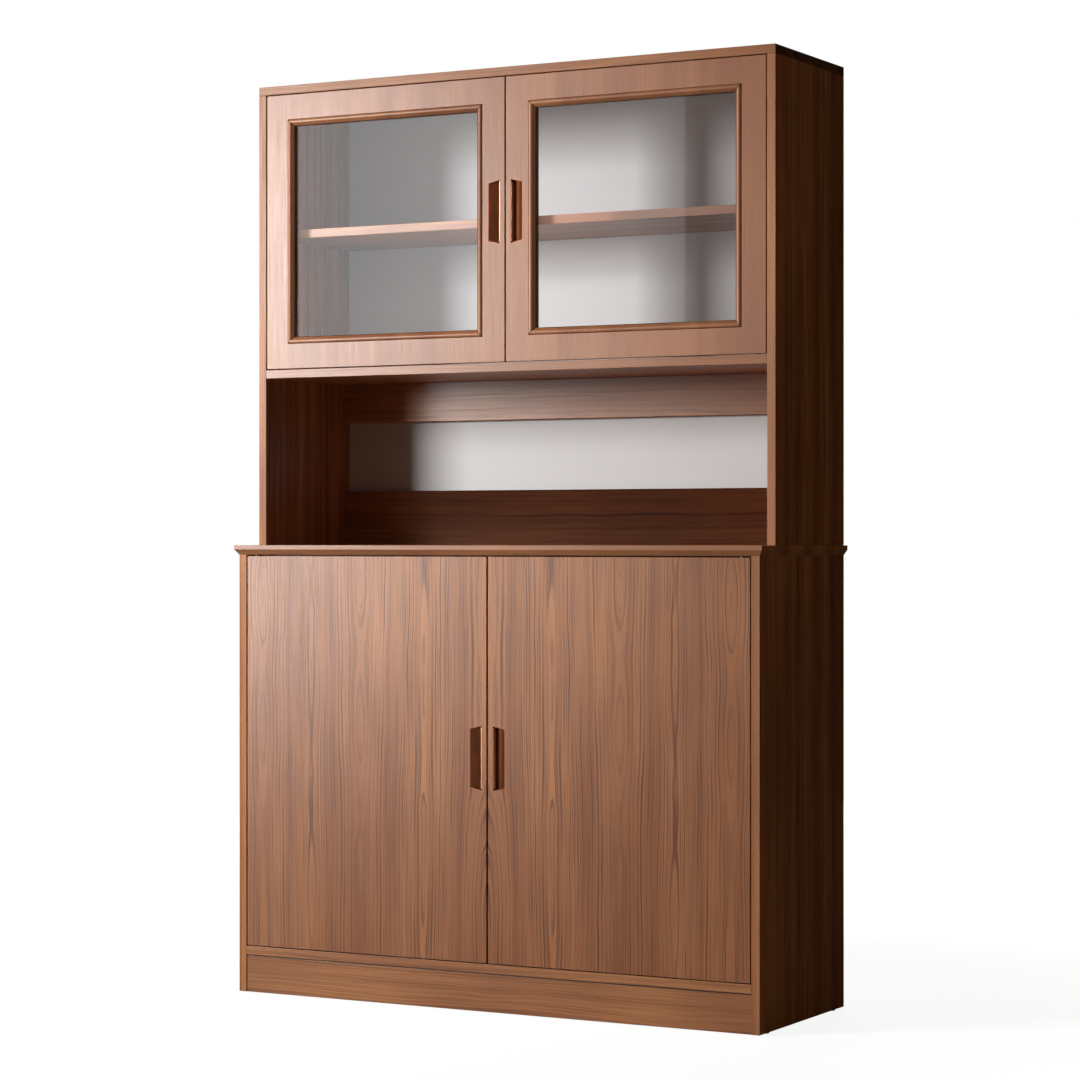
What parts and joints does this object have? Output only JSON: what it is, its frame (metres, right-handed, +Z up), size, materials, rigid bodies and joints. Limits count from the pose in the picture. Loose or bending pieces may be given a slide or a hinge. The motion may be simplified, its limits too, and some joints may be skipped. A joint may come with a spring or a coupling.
{
  "type": "kitchen cabinet",
  "caption": "Tall walnut dining cabinet: solid-door base under a worktop, open niche, and glazed-door cupboard above, with recessed pulls and pivoting doors.",
  "frame": {"origin": "on the floor under the middle of the cabinet's box", "axes": "+Z up, +Y to the back, against the wall, +X to the right as seen from the front"},
  "size_m": [1.216, 0.42, 1.912],
  "materials": {
    "walnut": "satin walnut veneer with a vertical grain",
    "back_panel": "pale grey matte laminate",
    "dowel_wood": "plain beech",
    "glass": "clear float glass with a grey cast",
    "pull_bronze": "dark bronze lacquer",
    "grip_copper": "brushed copper",
    "steel": "zinc-plated steel",
    "bush_brass": "turned brass",
    "plastic": "dark moulded plastic"
  },
  "bodies": {
    "carcass": {"cupboard_shelf_pins": "steel", "base_left_side": "walnut", "base_right_side": "walnut", "base_floor": "walnut", "plinth": "walnut", "base_back": "back_panel", "front_stretcher": "walnut", "base_divider": "walnut", "base_left_shelf": "walnut", "base_left_shelf_pins": "steel", "base_right_shelf": "walnut", "base_right_shelf_pins": "steel", "floor_glides": "plastic", "centre_leg": "plastic", "worktop": "walnut", "hutch_left_side": "walnut", "hutch_right_side": "walnut", "hutch_dowels": "dowel_wood", "hutch_top": "walnut", "cupboard_floor": "walnut", "cupboard_shelf": "walnut", "niche_upper_rail": "walnut", "niche_lower_rail": "walnut", "wall_brackets": "steel", "hutch_back": "back_panel", "base_left_bushes": "bush_brass", "base_right_bushes": "bush_brass", "hutch_left_bushes": "bush_brass", "hutch_right_bushes": "bush_brass", "base_catches": "plastic", "hutch_catches": "plastic"},
    "base_left_door": {"base_left_pull_cup": "pull_bronze", "base_left_pull_grip": "grip_copper", "base_left_door": "walnut", "base_left_pivots": "steel", "base_left_strike": "steel"},
    "base_right_door": {"base_right_pull_cup": "pull_bronze", "base_right_pull_grip": "grip_copper", "base_right_door": "walnut", "base_right_pivots": "steel", "base_right_strike": "steel"},
    "hutch_left_door": {"hutch_left_pull_cup": "pull_bronze", "hutch_left_pull_grip": "grip_copper", "hutch_left_door_frame": "walnut", "hutch_left_glass": "glass", "hutch_left_moulding": "walnut", "hutch_left_glass_stops": "walnut", "hutch_left_pivots": "steel", "hutch_left_strike": "steel"},
    "hutch_right_door": {"hutch_right_pull_cup": "pull_bronze", "hutch_right_pull_grip": "grip_copper", "hutch_right_door_frame": "walnut", "hutch_right_glass": "glass", "hutch_right_moulding": "walnut", "hutch_right_glass_stops": "walnut", "hutch_right_pivots": "steel", "hutch_right_strike": "steel"}
  },
  "joints": [
    {"name": "base_left_door_hinge", "type": "hinge", "parent": "carcass", "child": "base_left_door", "pos_m": [-0.5595, -0.193, 0.5085], "axis": [0, 0, -1], "range_deg": [0, 110]},
    {"name": "base_right_door_hinge", "type": "hinge", "parent": "carcass", "child": "base_right_door", "pos_m": [0.5595, -0.193, 0.5085], "axis": [0, 0, 1], "range_deg": [0, 110]},
    {"name": "hutch_left_door_hinge", "type": "hinge", "parent": "carcass", "child": "hutch_left_door", "pos_m": [-0.5595, -0.119, 1.6025], "axis": [0, 0, -1], "range_deg": [0, 110]},
    {"name": "hutch_right_door_hinge", "type": "hinge", "parent": "carcass", "child": "hutch_right_door", "pos_m": [0.5595, -0.119, 1.6025], "axis": [0, 0, 1], "range_deg": [0, 110]}
  ]
}
